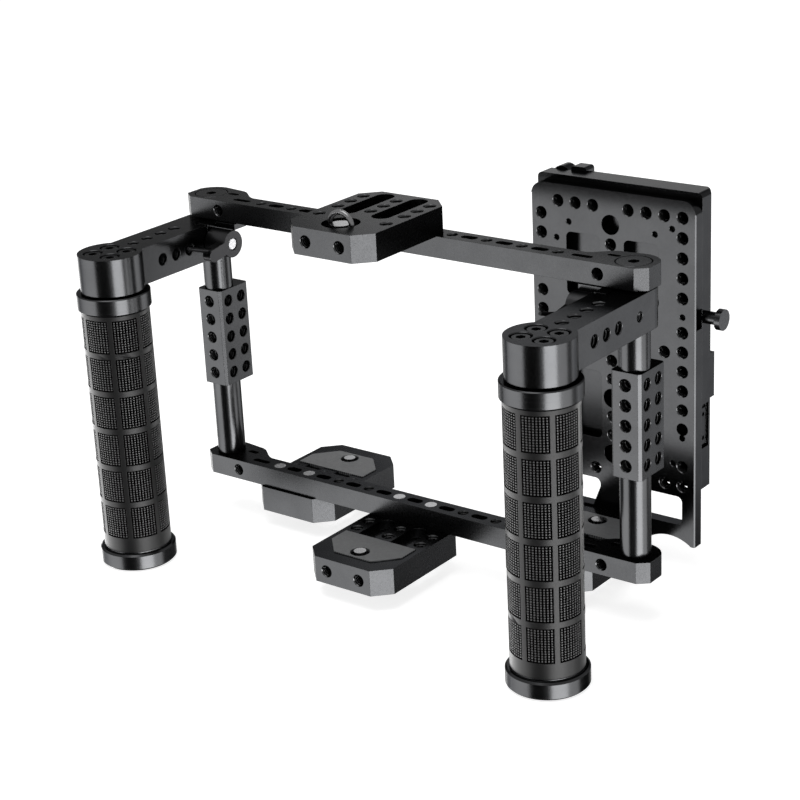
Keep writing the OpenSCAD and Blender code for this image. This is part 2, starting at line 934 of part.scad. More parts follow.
module core_body() {
    core_l = collar_gap + collar_h + sleeve_l;
    bore_l = core_l - core_roof;
    translate([rod_x, -grip_reach, sleeve_z]) difference() {
        cylinder(d = core_d, h = core_l);
        translate([0, 0, -over]) cylinder(d = core_d - 2 * core_wall, h = bore_l + over);
        for (a = [-1, 1], b = [-1, 1]) {
            translate([a * arm_screw_pitch / 2, b * arm_screw_pitch / 2, core_l])
                drill(arm_screw_d + 2 * screw_clear, arm_screw_bite + core_hole_extra);
        }
    }
}

module collar_body() {
    inner_r = core_d / 2 + fit_clear;
    r = collar_d / 2;
    b = collar_bevel;
    translate([rod_x, -grip_reach, collar_z]) rotate_extrude() polygon([
        [inner_r, 0], [r - b, 0], [r, b], [r, collar_h - b / 2], [r - b / 2, collar_h],
        [inner_r, collar_h]
    ]);
}

module sleeve_body(turn) {
    r = sleeve_d / 2;
    inner_r = core_d / 2 + fit_clear;
    step = 360 / panel_cols;
    band = panel_band / r * 180 / PI;
    translate([rod_x, -grip_reach, sleeve_z]) difference() {
        rotate_extrude() polygon([[inner_r, 0], [r, 0], [r, sleeve_l], [inner_r, sleeve_l]]);
        for (c = [0 : panel_cols - 1], k = [0 : panel_rows - 1]) {
            rotate([0, 0, turn + c * step + band / 2])
                translate([0, 0, sleeve_l - panel_top - panel_h - k * panel_pitch])
                rotate_extrude(angle = step - band) polygon([
                    [r - panel_depth, 0], [r + over, 0],
                    [r + over, panel_h], [r - panel_depth, panel_h]
                ]);
        }
    }
}

module end_cap_body() {
    r = end_cap_d / 2;
    b = end_cap_bevel;
    spigot_r = core_d / 2 - core_wall - fit_clear;
    translate([rod_x, -grip_reach, end_cap_z]) rotate_extrude() polygon([
        [0, 0], [r - b, 0], [r, b], [r, end_cap_h - 2 * cap_shoulder],
        [r - cap_shoulder, end_cap_h - cap_shoulder],
        [sleeve_d / 2 + cap_shoulder / 4, end_cap_h - cap_shoulder],
        [sleeve_d / 2 + cap_shoulder / 4, end_cap_h],
        [spigot_r, end_cap_h], [spigot_r, end_cap_h + spigot_l], [0, end_cap_h + spigot_l]
    ]);
}

module left_arm() {
    color("#1e1e20") left() arm_body();
}

module right_arm() {
    color("#1e1e20") right() arm_body();
}

module left_arm_screws() {
    color("#2b2b2e") left() arm_screw_set();
}

module right_arm_screws() {
    color("#2b2b2e") right() arm_screw_set();
}

module left_core() {
    color("#1a1a1c") left() core_body();
}

module right_core() {
    color("#1a1a1c") right() core_body();
}

module left_collar() {
    color("#303034") left() collar_body();
}

module right_collar() {
    color("#303034") right() collar_body();
}

module left_sleeve() {
    color("#26282a") left() sleeve_body(left_panel_turn);
}

module right_sleeve() {
    color("#26282a") right() sleeve_body(panel_turn);
}

module left_end_cap() {
    color("#303034") left() end_cap_body();
}

module right_end_cap() {
    color("#303034") right() end_cap_body();
}

// Clamp lever, turning about the clamp bolt

module lever_body() {
    half = arm_w / 2;
    translate([rod_x - half - hub_gap - hub_l, -bolt_off, arm_z + arm_mid]) difference() {
        union() {
            rotate([0, 90, 0]) cylinder(d = hub_d, h = hub_l);
            rotate([lever_drop, 0, 0]) {
                translate([0, -lever_l, -lever_w / 2]) cube([lever_t, lever_l, lever_w]);
                translate([0, -lever_l, 0]) rotate([0, 90, 0]) cylinder(d = lever_w, h = lever_t);
                translate([lever_t / 2, -lever_l, lever_w * tail_root_share])
                    rotate([90 - tail_rise - lever_drop, 0, 0]) cylinder(
                        d1 = tail_d, d2 = tail_d * tail_tip_share, h = tail_l + lever_w / 4
                    );
            }
        }
        rotate([0, 90, 0]) {
            translate([0, 0, -over]) cylinder(d = hub_well_d, h = hub_well_depth + over);
            translate([0, 0, -over]) cylinder(d = bolt_d + 2 * screw_clear, h = hub_l + 2 * over);
        }
    }
}

module bolt_body() {
    half = arm_w / 2;
    head_x = hub_well_depth - bolt_head_t;
    bolt_l = hub_l - hub_well_depth + hub_gap + arm_w - bolt_inset;
    translate([rod_x - half - hub_gap - hub_l, -bolt_off, arm_z + arm_mid]) rotate([0, 90, 0]) {
        translate([0, 0, head_x]) cylinder(d = bolt_head_d, h = bolt_head_t);
        translate([0, 0, head_x + bolt_head_t / 2])
            cylinder(d = bolt_d, h = bolt_l + bolt_head_t / 2);
    }
}

module left_lever() {
    color("#222224") left() lever_body();
}

module right_lever() {
    color("#222224") right() lever_body();
}

module left_bolt() {
    color("#c4c4c8") left() bolt_body();
}

module right_bolt() {
    color("#c4c4c8") right() bolt_body();
}

// Battery plate. Local frame: x from its middle line, z down from its top edge where named so.

module rounded_top(w, h, r) {
    translate([-w / 2, 0]) square([w, h - r]);
    translate([r - w / 2, 0]) square([w - 2 * r, h]);
    for (s = [-1, 1]) {
        translate([s * (w / 2 - r), h - r]) circle(r = r);
    }
}

module window_shape(w, h, r) {
    translate([r, 0]) square([w - 2 * r, h]);
    translate([0, r]) square([w, h - 2 * r]);
    for (x = [r, w - r], y = [r, h - r]) {
        translate([x, y]) circle(r = r);
    }
}

module gate_shape() {
    gate_out = bp_w / 2 - gate_edge;
    difference() {
        translate([gate_in, 0]) window_shape(gate_out - gate_in, gate_h, gate_r);
        polygon([
            [gate_in - over, -over], [gate_in + gate_slant, -over],
            [gate_in + gate_slant, 0], [gate_in, gate_slant_h], [gate_in - over, gate_slant_h]
        ]);
    }
}

// Holes of one column of the grid, at given rows of a series that starts at z
module grid_column(col, z, step, rows, d = hole_d) {
    for (k = rows) {
        translate([grid_x + col * hole_pitch, z + k * step]) circle(d = d);
    }
}

module grid_holes() {
    n = edge_cols;
    top_a = bp_h - row_a;
    top_b = bp_h - row_b;
    top_c = bp_h - row_c;
    for (c = [1 - n : n]) {
        if (c != 0) grid_column(c, top_b, 0, [0]);
    }
    grid_column(n, top_b, -hole_pitch, [1 : 4]);
    grid_column(-n, top_a, -hole_pitch, [0 : 5]);
    grid_column(n, top_a, -hole_pitch, [5 : rows_a - 3]);
    grid_column(n, low_row_a, hole_pitch, [1]);
    grid_column(0, top_c, -hole_pitch, [0], big_hole_d);
    grid_column(0, top_c, -hole_pitch, [1]);
    grid_column(0, top_c, -hole_pitch, [5 : rows_c - 5]);
    grid_column(0, low_row_c, hole_pitch, [1, 4], big_hole_d);
    grid_column(0, low_row_c, hole_pitch, [2, 3]);
    grid_column(n - 1, top_c, -hole_pitch, [6]);
    for (c = [1 - n, -1, 1, n - 1, n]) {
        grid_column(c, bottom_row, 0, [0]);
    }
}

// Small holes beside one outer column, counted from the level z
module small_holes(side, z, down, shares) {
    for (p = shares) {
        translate([grid_x + side * (edge_cols - p[0]) * hole_pitch, z + down * p[1] * hole_pitch])
            circle(d = small_hole_d);
    }
}

module front_cut_outline() {
    grid_holes();
    small_holes(-1, bp_h, -1, left_small_shares);
    small_holes(1, bp_h, -1, right_small_shares);
    small_holes(1, 0, 1, low_small_shares);
    for (m = [0, 1]) {
        mirror([m, 0]) {
            translate([window_in, bp_h - upper_window_top - upper_window_h])
                window_shape(window_w, upper_window_h, window_r);
            translate([window_in, lower_window_low])
                window_shape(window_w, lower_window_h, window_r);
            translate([0, gate_low]) gate_shape();
            translate([bp_w / 2 - arch_edge, -arch_drop]) circle(r = arch_r);
            translate([bp_w / 2 - arch_edge, -over]) square([arch_edge + over, leg_rise + over]);
        }
    }
}

module at_battery() {
    placed() translate([bp_x, bp_y, -bp_drop]) children();
}

// Turns a flat outline drawn in x and z into a plate that grows to the rear
module upright(t) {
    rotate([90, 0, 0]) mirror([0, 0, 1]) linear_extrude(t) children();
}

module battery_front() {
    color("#4a4b4d") at_battery() difference() {
        upright(bp_t) rounded_top(bp_w, bp_h, bp_corner_r);
        translate([0, -over, 0]) upright(bp_t + 2 * over) front_cut_outline();
        for (s = [-1, 1]) {
            translate([s * bp_w / 2, 0, -over]) rotate([0, 0, 45])
                translate([-bp_edge, -bp_edge, 0] / sqrt(2))
                cube([bp_edge * sqrt(2), bp_edge * sqrt(2), bp_h + 2 * over - bp_corner_r]);
            translate([s * hole_pitch - bp_shift, bp_t, bp_drop - plate_t / 2])
                rotate([-90, 0, 0]) drill(plate_screw_d + 2 * screw_clear, bp_t + over);
        }
        at_carrier_screws() drill(carrier_screw_d + 2 * screw_clear, carrier_d + carrier_screw_bite);
        translate([bp_w / 2 - notch_depth, notch_wall, side_z + bp_drop - notch_h / 2])
            cube([notch_depth + over, bp_t - notch_wall + over, notch_h]);
    }
}

// Turns the heads of the carrier's screws to the rear, with +Z out of its rear face
module at_carrier_screws() {
    for (s = [-1, 1], z = [carrier_foot + carrier_screw_foot, bp_h - carrier_screw_drop]) {
        translate([s * (bp_w / 2 - carrier_screw_edge), bp_t + carrier_d, z]) rotate([-90, 0, 0]) children();
    }
}

module carrier_solid() {
    translate([0, bp_t, carrier_foot]) difference() {
        upright(carrier_d) rounded_top(bp_w, carrier_h, carrier_corner_r);
        for (s = [-1, 1]) {
            translate([s * bp_w / 2, carrier_d, -over]) rotate([0, 0, 45])
                translate([-carrier_bevel, -carrier_bevel, 0] / sqrt(2))
                cube([carrier_bevel * sqrt(2), carrier_bevel * sqrt(2), carrier_h + 2 * over]);
        }
        translate([-bp_w / 2 - over, carrier_d, 0]) rotate([45, 0, 0])
            translate([0, -foot_bevel, -foot_bevel] / sqrt(2))
            cube([bp_w + 2 * over, foot_bevel * sqrt(2), foot_bevel * sqrt(2)]);
    }
    translate([bp_w / 2 - side_lug_w, bp_t + carrier_d / 2, side_lug_z + bp_drop])
        cube([side_lug_w, carrier_d / 2, side_lug_h]);
}

module battery_carrier() {
    button_low = bp_h + carrier_rise - button_h - button_travel - button_clear;
    button_right = button_x + button_w / 2 + button_clear;
    color("#27282a") at_battery() difference() {
        carrier_solid();
        translate([bp_w / 2 - port_depth, bp_t + port_y, port_z + bp_drop])
            cube([port_depth + over, port_d, port_h]);
        translate([-bp_w / 2 - over, bp_t + carrier_d - button_in, button_low])
            cube([bp_w / 2 + over + button_right, button_in + over, button_h * 2]);
        translate([bp_w / 2, bp_t + side_y, side_z + bp_drop]) rotate([0, 90, 0])
            drill(side_thread_d + 2 * run_clear, side_thread_l + side_gap);
        at_carrier_screws() {
            drill(carrier_screw_d + 2 * screw_clear, carrier_d + over);
            drill(carrier_screw_head_d + 2 * screw_clear, carrier_screw_head_t);
        }
    }
}

// Rail with an undercut flank on its inner side
module rail() {
    translate([rail_half_gap, 0, 0]) rotate([0, rail_lean, 0]) linear_extrude(rail_h)
        polygon([
            [0, 0], [rail_w - rail_undercut, 0],
            [rail_w - rail_undercut, rail_d], [-rail_undercut, rail_d]
        ]);
}

module battery_rails() {
    color("#202022") at_battery() translate([0, bp_t + carrier_d, rail_z]) for (m = [0, 1]) {
        mirror([m, 0, 0]) rail();
    }
}

module contact_block() {
    color("#151516") at_battery() translate([0, bp_t + carrier_d, contact_z]) difference() {
        translate([-contact_w / 2, 0, 0]) cube([contact_w, contact_d, contact_h]);
        for (k = [-2 : 2]) {
            translate([k * contact_slot_pitch - contact_slot_w / 2,
                       contact_d - contact_slot_depth, contact_h - contact_slot_h])
                cube([contact_slot_w, contact_slot_depth + over, contact_slot_h + over]);
        }
    }
}

module port_panel() {
    z0 = port_z + bp_drop + (port_h - port_panel_h) / 2;
    color("#4a4b4d") at_battery()
        translate([bp_w / 2 - port_depth, bp_t + port_y + panel_y_inset, z0]) difference() {
            cube([port_panel_t, port_panel_d, port_panel_h]);
            for (s = [-1, 1]) {
                translate([port_panel_t, port_panel_d / 2, port_panel_h / 2 + s * port_hole_pitch / 2])
                    rotate([0, 90, 0]) drill(port_hole_d, port_panel_t + over);
            }
        }
}

// Screws through the front plate into the end of the plate that carries it
module battery_screws() {
    color("#2b2b2e") at_battery() for (s = [-1, 1]) {
        translate([s * hole_pitch - bp_shift, bp_t, bp_drop - plate_t / 2]) rotate([90, 0, 0])
            difference() {
                translate([0, 0, -battery_screw_head_t]) union() {
                    cylinder(d = battery_screw_head_d, h = battery_screw_head_t);
                    cylinder(d = plate_screw_d, h = battery_screw_head_t + bp_t + battery_screw_len);
                }
                translate([0, 0, -battery_screw_head_t]) mirror([0, 0, 1])
                    hex_socket(plate_screw_socket, plate_screw_socket_depth);
            }
    }
}

module carrier_screws() {
    color("#2b2b2e") at_battery() at_carrier_screws() difference() {
        union() {
            translate([0, 0, -carrier_screw_head_t])
                cylinder(d = carrier_screw_head_d, h = carrier_screw_head_t);
            translate([0, 0, -carrier_d - carrier_screw_bite])
                cylinder(d = carrier_screw_d, h = carrier_d + carrier_screw_bite - carrier_screw_head_t / 2);
        }
        hex_socket(carrier_screw_d / 2, carrier_screw_head_t / 2);
    }
}

// Release with a round hump and, beside it, a flat one
module release_button() {
    z0 = bp_h + carrier_rise - button_h;
    top = button_h + button_rise;
    r = button_hump_r;
    flat_x = 2 * r - button_w / 2;
    color("#303033") at_battery()
        translate([button_x, bp_t + carrier_d - button_in + button_clear, z0])
        upright(rail_d + button_in - button_clear) union() {
            translate([-button_w / 2, 0]) square([button_w, top - button_hump_drop - r]);
            translate([r - button_w / 2, top - button_hump_drop - r]) circle(r = r);
            translate([flat_x, 0]) window_shape(button_w / 2 - flat_x, top, button_corner_r);
        }
}

module side_screw() {
    color("#2b2b2e") at_battery()
        translate([bp_w / 2, bp_t + side_y, side_z + bp_drop]) rotate([0, 90, 0]) {
            translate([0, 0, -side_thread_l])
                cylinder(d = side_thread_d, h = side_thread_l + neck_l / 2);
            translate([0, 0, side_gap]) cylinder(d = neck_d, h = neck_l - side_gap);
            translate([0, 0, neck_l]) cylinder(d = knob_d, h = knob_t);
        }
}

top_bar();
bottom_bar();
left_lower_rod();
right_lower_rod();
left_block();
right_block();
left_upper_rod();
right_upper_rod();
rod_end_screws();
top_plate();
centre_plate();
left_plate();
right_plate();
top_pad();
centre_pad();
left_pad();
right_pad();
plate_screws();
top_stud();
top_ring();
centre_stud();
centre_ring();
left_stud();
left_ring();
right_stud();
right_ring();
left_arm();
left_arm_screws();
left_core();
left_collar();
left_sleeve();
left_end_cap();
right_arm();
right_arm_screws();
right_core();
right_collar();
right_sleeve();
right_end_cap();
left_lever();
left_bolt();
right_lever();
right_bolt();
battery_front();
battery_carrier();
battery_rails();
contact_block();
port_panel();
battery_screws();
carrier_screws();
release_button();
side_screw();
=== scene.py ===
"""Looks of the monitor cage: camera, materials, threads, grip studs, light and floor."""

import json
import math

import bmesh
import bpy
import numpy as np
from mathutils import Matrix, Vector


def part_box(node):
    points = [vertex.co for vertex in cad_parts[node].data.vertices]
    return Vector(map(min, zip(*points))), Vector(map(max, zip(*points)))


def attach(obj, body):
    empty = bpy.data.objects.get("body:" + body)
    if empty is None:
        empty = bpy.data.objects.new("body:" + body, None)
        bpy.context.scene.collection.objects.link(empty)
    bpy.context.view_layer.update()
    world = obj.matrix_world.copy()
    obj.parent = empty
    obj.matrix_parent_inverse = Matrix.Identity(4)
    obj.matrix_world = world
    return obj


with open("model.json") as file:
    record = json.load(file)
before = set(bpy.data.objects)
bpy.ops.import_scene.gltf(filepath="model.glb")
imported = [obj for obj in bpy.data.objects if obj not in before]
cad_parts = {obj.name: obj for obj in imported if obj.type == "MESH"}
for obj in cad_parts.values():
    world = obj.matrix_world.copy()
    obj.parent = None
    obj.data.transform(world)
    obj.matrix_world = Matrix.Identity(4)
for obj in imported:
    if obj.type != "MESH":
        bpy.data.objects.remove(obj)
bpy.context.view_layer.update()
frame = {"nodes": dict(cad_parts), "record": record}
NODES = frame["nodes"]
BODY_OF = {n: b for b, members in frame["record"]["behaviour"]["bodies"].items() for n in members}
SLOT_OF = {s["node"]: s["material_slot"] for s in frame["record"]["subparts"]}

# Camera

# place in metres, angles in degrees, lens and sensor in millimetres
CAMERA_AT = (0.5904, -0.7580, 0.45135)
CAMERA_AZIMUTH = 38.074
CAMERA_ELEVATION = 20.663
CAMERA_ROLL = -2.853
LENS = 92.7
SENSOR = 36
NEAREST = 0.01
FARTHEST = 100


def direction(azimuth, elevation):
    """Unit vector from the object; azimuth 0 is -Y and 90 is +X."""
    a, e = math.radians(azimuth), math.radians(elevation)
    return Vector((math.sin(a) * math.cos(e), -math.cos(a) * math.cos(e), math.sin(e)))


def make_camera():
    """The photograph's view."""
    back = direction(CAMERA_AZIMUTH, CAMERA_ELEVATION)
    level = direction(CAMERA_AZIMUTH + 90, 0)
    up = back.cross(level)
    roll = math.radians(CAMERA_ROLL)
    right = math.cos(roll) * level + math.sin(roll) * up
    top = -math.sin(roll) * level + math.cos(roll) * up
    turn = Matrix((right, top, back)).transposed()
    data = bpy.data.cameras.new("camera")
    data.lens = LENS
    data.sensor_width = SENSOR
    data.clip_start = NEAREST
    data.clip_end = FARTHEST
    cam = bpy.data.objects.new("camera", data)
    cam.matrix_world = Matrix.Translation(CAMERA_AT) @ turn.to_4x4()
    bpy.context.scene.collection.objects.link(cam)
    bpy.context.scene.camera = cam


make_camera()

# Materials


class Mat:
    """A node tree round one shader, with short helpers. Coordinates are the frame's, in metres."""

    def __init__(self, name):
        self.material = bpy.data.materials.new(name)
        self.material.use_nodes = True
        self.tree = self.material.node_tree
        self.tree.nodes.clear()
        self.shader = self.node("ShaderNodeBsdfPrincipled")
        self.link(self.shader.outputs[0], self.node("ShaderNodeOutputMaterial").inputs[0])
        self.coords = self.node("ShaderNodeTexCoord").outputs["Object"]

    def node(self, kind, **values):
        """A new node with its own settings."""
        made = self.tree.nodes.new(kind)
        for key, value in values.items():
            setattr(made, key, value)
        return made

    def link(self, a, b):
        """Joins output a to input b."""
        self.tree.links.new(a, b)

    def put(self, **values):
        """Sets constants on the shader's own sockets."""
        for key, value in values.items():
            self.shader.inputs[key.replace("_", " ")].default_value = value

    def mapped(self, **values):
        """The coordinates after a mapping, such as a scale or a rotation."""
        m = self.node("ShaderNodeMapping")
        for key, value in values.items():
            m.inputs[key].default_value = value
        self.link(self.coords, m.inputs["Vector"])
        return m.outputs[0]

    def noise(self, scale, detail=2.0, rough=0.5, vector=None):
        """Noise of about 1 / scale metres."""
        n = self.node("ShaderNodeTexNoise")
        n.inputs["Scale"].default_value = scale
        n.inputs["Detail"].default_value = detail
        n.inputs["Roughness"].default_value = rough
        self.link(vector or self.coords, n.inputs["Vector"])
        return n.outputs["Fac"]

    def ramp(self, fac, low, high, start=0.35, end=0.65):
        """Maps fac from start..end to low..high."""
        m = self.node("ShaderNodeMapRange")
        m.inputs["From Min"].default_value = start
        m.inputs["From Max"].default_value = end
        m.inputs["To Min"].default_value = low
        m.inputs["To Max"].default_value = high
        self.link(fac, m.inputs["Value"])
        return m.outputs[0]

    def tone(self, fac, color, low, high, start=0.35, end=0.65):
        """Links the base colour, which goes by fac from color times low to color times high."""
        dark, light = (tuple(c * share for c in color) for share in (low, high))
        m = self.node("ShaderNodeMix", data_type="RGBA")
        m.inputs["A"].default_value = (*dark, 1)
        m.inputs["B"].default_value = (*light, 1)
        self.link(self.ramp(fac, 0, 1, start, end), m.inputs["Factor"])
        self.link(m.outputs["Result"], self.shader.inputs["Base Color"])

    def gloss(self, fac, low, high, start=0.35, end=0.65):
        """Links the roughness."""
        self.link(self.ramp(fac, low, high, start, end), self.shader.inputs["Roughness"])

    def bump(self, height, distance, edge=0.0, after=None):
        """Links a relief of the given depth, on rounded edges or on another relief."""
        relief = self.node("ShaderNodeBump")
        relief.inputs["Distance"].default_value = distance
        self.link(height, relief.inputs["Height"])
        if after is not None:
            self.link(after, relief.inputs["Normal"])
        elif edge:
            bevel = self.node("ShaderNodeBevel", samples=4)
            bevel.inputs["Radius"].default_value = edge
            self.link(bevel.outputs[0], relief.inputs["Normal"])
        self.link(relief.outputs[0], self.shader.inputs["Normal"])
        return relief.outputs[0]


def anodised(name, color, rough, edge=0.00025, tint=0.42, grain=5200, depth=0.000003):
    """Bead-blasted and anodised metal, with a fine grain and faint mottling."""
    m = Mat(name)
    m.tone(m.noise(45, detail=3, rough=0.6), color, 0.94, 1.06)
    m.gloss(m.noise(900), rough - 0.02, rough + 0.02, 0.3, 0.7)
    m.bump(m.noise(grain, detail=1.5, rough=0.6), depth, edge)
    m.put(Metallic=1.0, Specular_Tint=(tint, tint, tint, 1))
    return m.material


def turned(name, color, rough, edge=0.0002, tint=0.42, lengthways=0.5):
    """Turned metal: fine rings round the Z axis."""
    m = Mat(name)
    m.tone(m.noise(30), color, 0.9, 1.1)
    rings = m.noise(1.0, detail=3, rough=0.7, vector=m.mapped(Scale=(8, 8, 3800)))
    m.gloss(rings, rough - 0.03, rough + 0.04, 0.3, 0.7)
    m.bump(rings, 0.000002, edge)
    m.put(Metallic=1.0, Specular_Tint=(tint, tint, tint, 1), Anisotropic=lengthways)
    tangent = m.node("ShaderNodeTangent", direction_type="RADIAL", axis="Z")
    m.link(tangent.outputs[0], m.shader.inputs["Tangent"])
    return m.material


def steel(name, color, rough, edge=0.0002, tint=0.9):
    """Machined steel with faint streaks."""
    m = Mat(name)
    streak = m.noise(700, detail=3, rough=0.6)
    m.tone(streak, color, 0.85, 1.1)
    m.gloss(streak, rough - 0.05, rough + 0.06)
    m.bump(m.noise(2500), 0.000006, edge)
    m.put(Metallic=1.0, Specular_Tint=(tint, tint, tint, 1))
    return m.material


def soft_black(name, color, rough, grain, depth, level, edge=0.0003):
    """Rubber, plastic or cloth: no metal, with a fine pebbled surface."""
    m = Mat(name)
    m.tone(m.noise(60, detail=3, rough=0.6), color, 0.9, 1.1)
    m.gloss(m.noise(1500), rough - 0.012, rough + 0.012)
    m.bump(m.noise(grain, rough=0.6), depth, edge)
    m.put(Specular_IOR_Level=level)
    return m.material


def ribbed(name, color, rough, pitch, depth, level):
    """Pad rubber with fine slanting ribs, with painted highlight on their crests and painted shade
    between them.
    """
    m = Mat(name)
    wave = m.node("ShaderNodeTexWave", wave_type="BANDS", bands_direction="X")
    wave.inputs["Scale"].default_value = math.pi / (10 * pitch)
    m.link(m.mapped(Rotation=(0, 0, math.radians(RIB_TURN))), wave.inputs["Vector"])
    ribs = wave.outputs["Fac"]
    # the ribs' colour, lighter on the crests and darker between them, is painted highlight and painted
    # shade
    m.tone(ribs, color, 0.45, 1.45, 0.25, 0.75)
    m.gloss(m.noise(500), rough - 0.05, rough + 0.05)
    pebble = m.bump(m.noise(3800), 0.00001, edge=0.0003)
    m.bump(ribs, depth, after=pebble)
    m.put(Specular_IOR_Level=level)
    return m.material


RIB_TURN = 40
BLACK = (0.026, 0.0264, 0.0273)
SATIN = (0.021, 0.0213, 0.022)
TURNED_BLACK = (0.028, 0.0284, 0.0293)
FINISHES = {
    "bar_metal": (anodised, dict(color=BLACK, rough=0.28)),
    "rod_metal": (turned, dict(color=TURNED_BLACK, rough=0.2)),
    "block_metal": (anodised, dict(color=BLACK, rough=0.26)),
    "plate_metal": (anodised, dict(color=(0.025, 0.0254, 0.0263), rough=0.26)),
    "arm_metal": (anodised, dict(color=BLACK, rough=0.22, edge=0.0003)),
    "collar_metal": (turned, dict(color=TURNED_BLACK, rough=0.2)),
    "panel_metal": (anodised, dict(color=SATIN, rough=0.2)),
    "lever_metal": (anodised, dict(color=(0.026, 0.026, 0.027), rough=0.32)),
    "thread_metal": (anodised, dict(color=(0.04, 0.0405, 0.0415), rough=0.22, edge=0.0, tint=0.5)),
    # the photograph shows the carrier as smooth and dark as the metal in front of it
    "carrier_plastic": (anodised, dict(color=SATIN, rough=0.22, grain=3600, depth=0.000002)),
    "dark_screw": (steel, dict(color=(0.032, 0.0325, 0.0335), rough=0.24, tint=0.42)),
    "bright_steel": (steel, dict(color=(0.14, 0.14, 0.143), rough=0.24, tint=0.6)),
    "polished_steel": (steel, dict(color=(0.4, 0.4, 0.41), rough=0.4)),
    "pad_rubber": (
        ribbed,
        dict(color=(0.085, 0.087, 0.089), rough=0.6, pitch=0.00105, depth=0.0001, level=0.3),
    ),
    "grip_rubber": (
        soft_black,
        dict(color=(0.005, 0.005, 0.0052), rough=0.42, grain=2600, depth=0.000006, level=0.16),
    ),
    # painted highlight: the studs' rubber is the grip's rubber made much lighter and glossier, so the
    # studs show lit
    "stud_rubber": (
        soft_black,
        dict(color=(0.062, 0.062, 0.063), rough=0.5, grain=2600, depth=0.000004, level=0.4),
    ),
    # painted shade: a near-black matt sheet with no gloss, laid in the hollows of the grip panels
    "panel_shade": (
        soft_black,
        dict(color=(0.002, 0.002, 0.002), rough=0.6, grain=2600, depth=0.000006, level=0.0),
    ),
    "contact_plastic": (
        soft_black,
        dict(color=(0.006, 0.006, 0.006), rough=0.35, grain=2500, depth=0.00001, level=0.3),
    ),
    "flag_cloth": (
        soft_black,
        dict(color=(0.003, 0.003, 0.003), rough=0.9, grain=300, depth=0.00002, level=0.0, edge=0.0),
    ),
}
MATERIALS = {name: make(name, **values) for name, (make, values) in FINISHES.items()}

for name, node in NODES.items():
    finish = "polished_steel" if name.endswith("_bolt") else SLOT_OF[name]
    node.data.materials.clear()
    node.data.materials.append(MATERIALS[finish])


# Geometry helpers

# vertices closer than this count as one: in a CAD node, and in a piece made here
WELD = 4e-6
SAME_PLACE = 2e-7


def add_piece(name, verts, faces, body, finish, smooth=True):
    """A mesh that rides on a body."""
    mesh = bpy.data.meshes.new(name)
    points = [tuple(map(float, v)) for v in verts]
    mesh.from_pydata(points, [], [tuple(map(int, f)) for f in faces])
    work = bmesh.new()
    work.from_mesh(mesh)
    bmesh.ops.remove_doubles(work, verts=work.verts, dist=SAME_PLACE)
    bmesh.ops.dissolve_degenerate(work, edges=work.edges, dist=SAME_PLACE)
    work.to_mesh(mesh)
    work.free()
    mesh.polygons.foreach_set("use_smooth", [smooth] * len(mesh.polygons))
    mesh.materials.append(MATERIALS[finish])
    piece = bpy.data.objects.new(name, mesh)
    bpy.context.scene.collection.objects.link(piece)
    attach(piece, body)


def welded(node):
    """Vertices and triangles of a CAD node with doubled vertices merged."""
    mesh = NODES[node].data
    mesh.calc_loop_triangles()
    co = np.empty(len(mesh.vertices) * 3)
    mesh.vertices.foreach_get("co", co)
    co = co.reshape(-1, 3)
    tri = np.empty(len(mesh.loop_triangles) * 3, int)
    mesh.loop_triangles.foreach_get("vertices", tri)
    keys = np.round(co / WELD).astype(np.int64)
    _, first, index = np.unique(keys, axis=0, return_index=True, return_inverse=True)
    tri = index.reshape(-1)[tri].reshape(-1, 3)
    tri = tri[(tri[:, 0] != tri[:, 1]) & (tri[:, 1] != tri[:, 2]) & (tri[:, 0] != tri[:, 2])]
    return co[first], tri


# Threads

THREADED = (
    "top_bar", "bottom_bar", "left_block", "right_block", "top_plate", "centre_plate",
    "left_plate", "right_plate", "left_arm", "right_arm", "battery_front",
)
OPEN_THROUGH = ("battery_front", "top_bar", "bottom_bar")

# A round hole: a loop of sharp edges, all at one distance from its centre, between a flat face that
# reaches past the loop and walls that go down from it. Lengths are in metres.
SHARP_COSINE = 0.7
FLAT_COSINE = 0.999
LEAST_POINTS = 10
OUT_OF_ROUND = 4e-5
FACE_SHARE = 1.02
LEAST_DEPTH = 0.0004

# The holes that get a thread, by radius, and the thread's form. A deeper hole than the deepest blind
# one goes through, and a crest is a share of the hole's radius.
LEAST_R = 0.0011
MOST_R = 0.0034
COARSE_R = 0.0027
COARSE_PITCH = 0.00127
FINE_PITCH = 0.0008
DEEPEST_BLIND = 0.0078
CREST_SHARE = 0.84
MOUTH_SLOPE = 1.1
GAP = 0.00002
SIDES = 24


